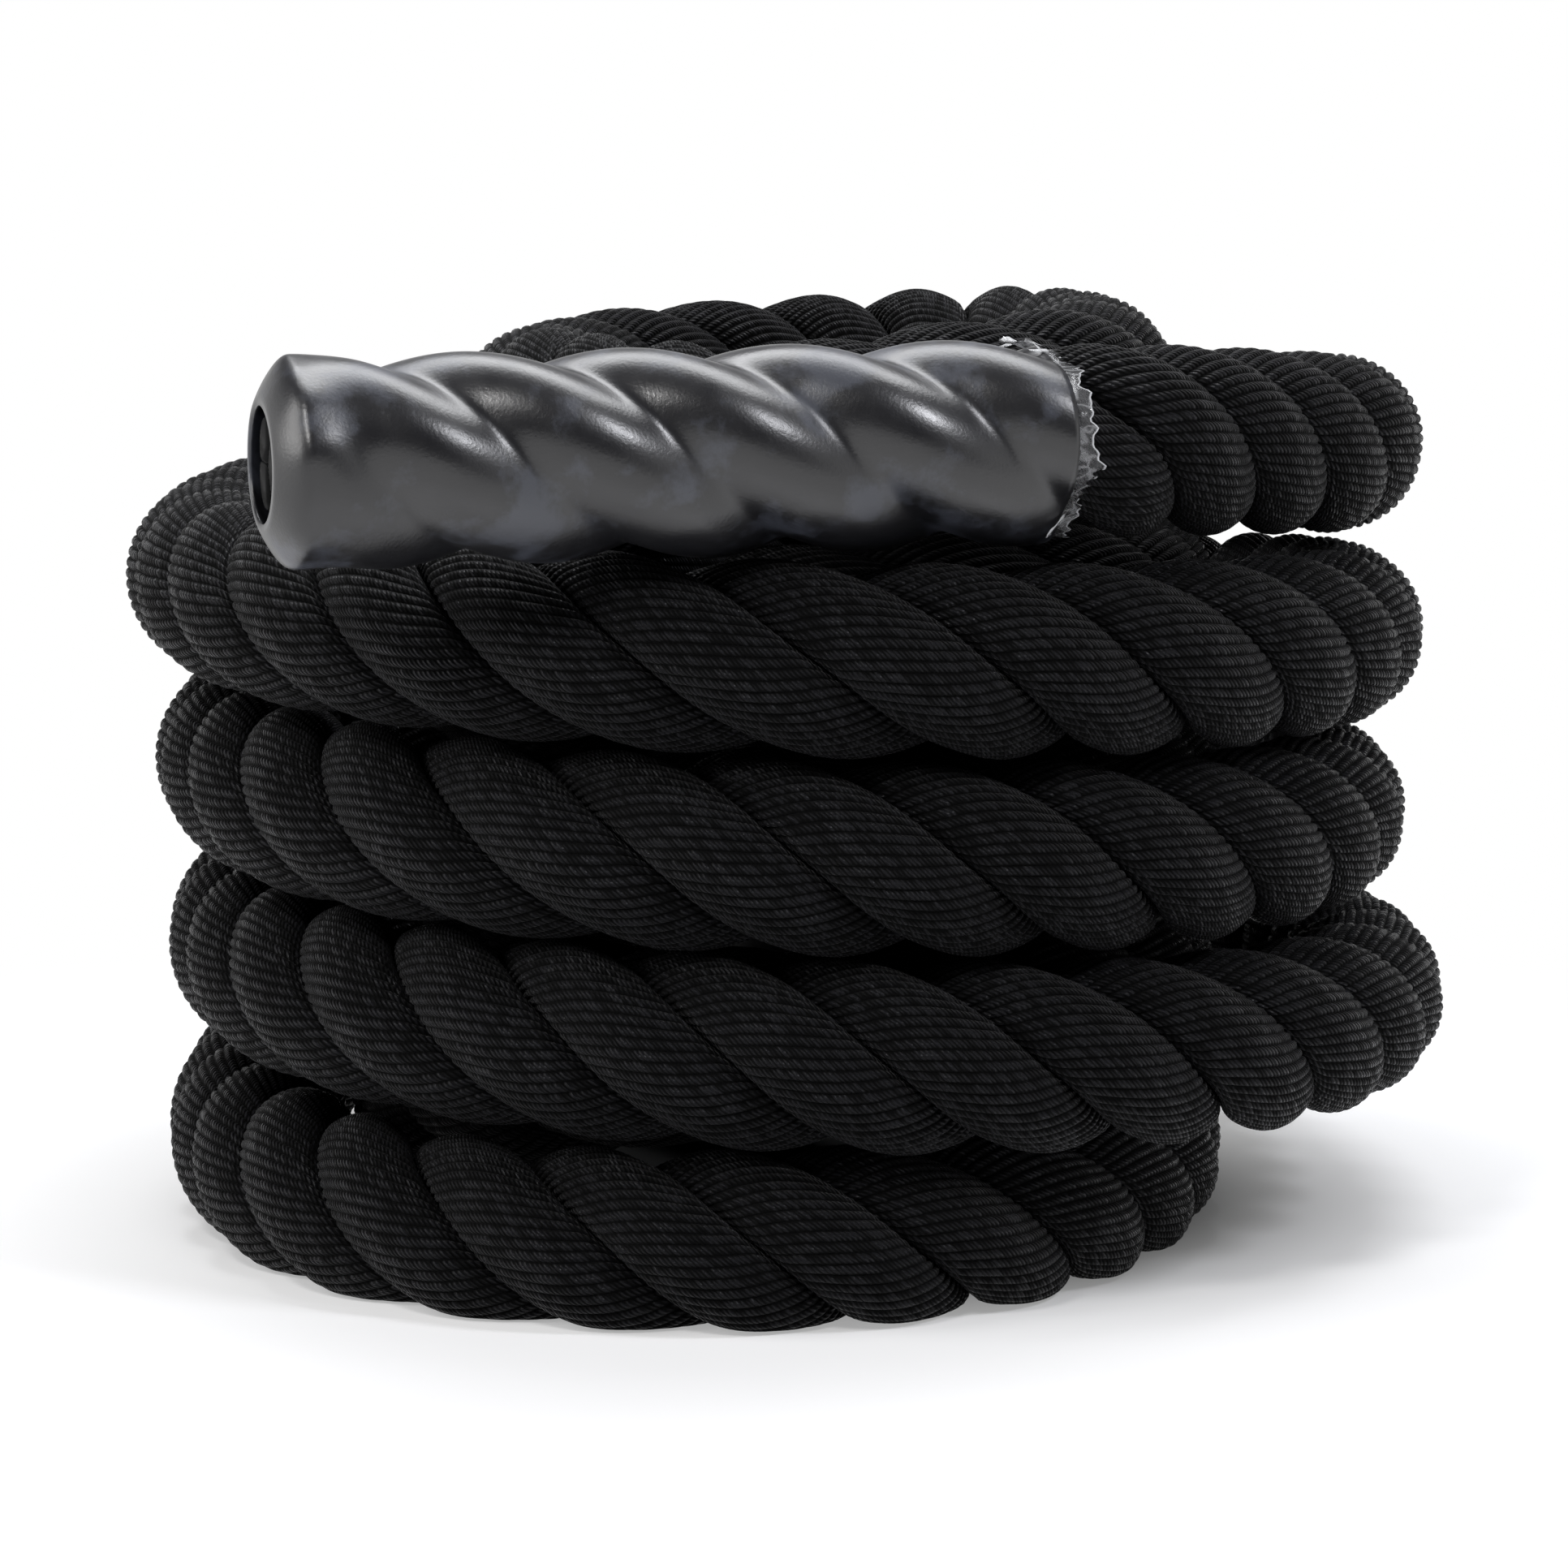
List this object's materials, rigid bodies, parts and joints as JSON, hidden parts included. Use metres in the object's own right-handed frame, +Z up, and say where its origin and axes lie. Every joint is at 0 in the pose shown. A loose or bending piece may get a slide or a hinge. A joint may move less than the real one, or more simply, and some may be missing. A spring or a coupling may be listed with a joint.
{
  "type": "battle rope",
  "caption": "Thick twisted black training rope, wound into a stacked coil, with a ribbed heat-shrunk grip sleeve on each end.",
  "frame": {"origin": "middle of the box round the coil, at the floor it stands on", "axes": "+Z up; +Y from the side with the exposed sleeve towards the back; +X to the right seen from that side"},
  "size_m": [0.3802, 0.4884, 0.2688],
  "materials": {
    "rope_yarn": "black twisted filament yarn with a soft sheen",
    "sleeve_plastic": "satin black heat-shrunk tube with a faint orange-peel surface",
    "clear_tape": "thin clear film"
  },
  "bodies": {
    "root": {"rope": "rope_yarn", "front_sleeve": "sleeve_plastic", "front_tape": "clear_tape", "rear_sleeve": "sleeve_plastic", "rear_tape": "clear_tape"}
  },
  "joints": []
}
